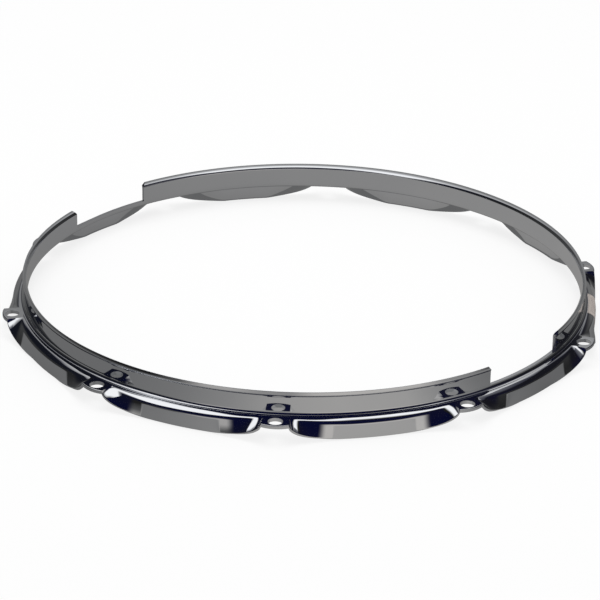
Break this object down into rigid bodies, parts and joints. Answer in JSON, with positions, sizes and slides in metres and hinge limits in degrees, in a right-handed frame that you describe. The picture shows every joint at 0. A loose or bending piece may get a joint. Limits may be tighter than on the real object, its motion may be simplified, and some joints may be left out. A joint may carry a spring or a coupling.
{
  "type": "drum hoop",
  "caption": "Flanged metal drum hoop for the snare side: an upright collar with a flared rim, two low gates for the snares, a folded skirt and flat ears with tension rod holes.",
  "frame": {"origin": "on the ring's axis, level with the lower edge of the skirts, where the hoop rests on a bench", "axes": "+Z is the ring's axis and points to the flared rim; the two snare gates lie on +X and -X; a lug lies on +Y and on -Y"},
  "size_m": [0.3766, 0.3922, 0.0278],
  "materials": {
    "chromed_steel": "polished chrome plating on pressed steel sheet",
    "label_paper": "matt film label with plain faint bars"
  },
  "bodies": {
    "root": {"hoop": "chromed_steel", "label": "label_paper"}
  },
  "joints": []
}
